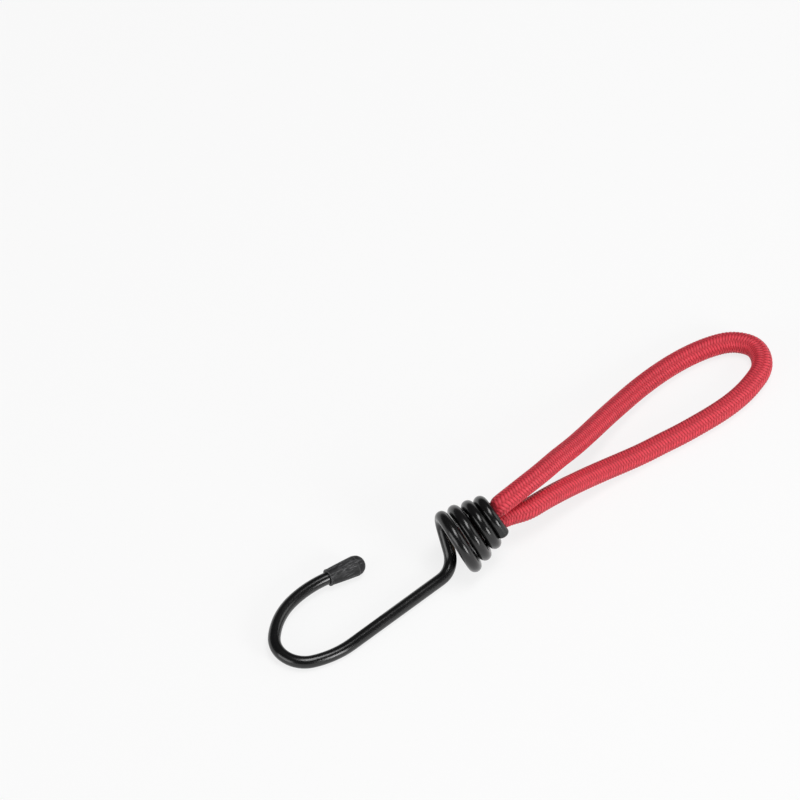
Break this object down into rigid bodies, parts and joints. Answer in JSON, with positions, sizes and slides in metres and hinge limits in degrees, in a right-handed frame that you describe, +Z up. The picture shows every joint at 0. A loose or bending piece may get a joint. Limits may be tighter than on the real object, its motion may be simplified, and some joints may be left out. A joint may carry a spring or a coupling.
{
  "type": "bungee cord",
  "caption": "Elastic bungee cord loop in red braided sheath, its ends gripped in the conical winding of a black coated wire hook with a capped tip.",
  "frame": {"origin": "on the ground, under the middle of the box round the hook wire, its cap and the crimp band", "axes": "+X from the hook's bend along the shank towards the cord loop, +Y towards the capped tip, +Z up from the surface on which the hook lies"},
  "size_m": [0.2471, 0.0513, 0.0268],
  "materials": {
    "hook_coating": "gloss black coating over spring steel",
    "cap_rubber": "matte",
    "band_steel": "zinc plated, dull and dark",
    "braid": "tightly braided polypropylene yarn",
    "latex": "matte natural latex"
  },
  "bodies": {
    "hook": {"hook_wire": "hook_coating", "tip_cap": "cap_rubber"},
    "cord_ends": {"crimp_band": "band_steel"},
    "loop": {"cord_sheath": "braid", "core_strand_1": "latex", "core_strand_2": "latex", "core_strand_3": "latex", "core_strand_4": "latex", "core_strand_5": "latex", "core_strand_6": "latex", "core_strand_7": "latex"}
  },
  "joints": [
    {"name": "hook_swivel", "type": "hinge", "parent": "hook", "child": "cord_ends", "pos_m": [0.03211, -0.00868, 0.01236], "axis": [0.9534, -0.1802, 0.2419], "continuous": true},
    {"name": "loop_stretch", "type": "slide", "parent": "cord_ends", "child": "loop", "axis": [1, 0, 0], "range_m": [0, 0.12], "stiffness_N_per_m": 2000, "deforming": ["cord_sheath", "core_strand_1", "core_strand_2", "core_strand_3", "core_strand_4", "core_strand_5", "core_strand_6", "core_strand_7"]}
  ]
}
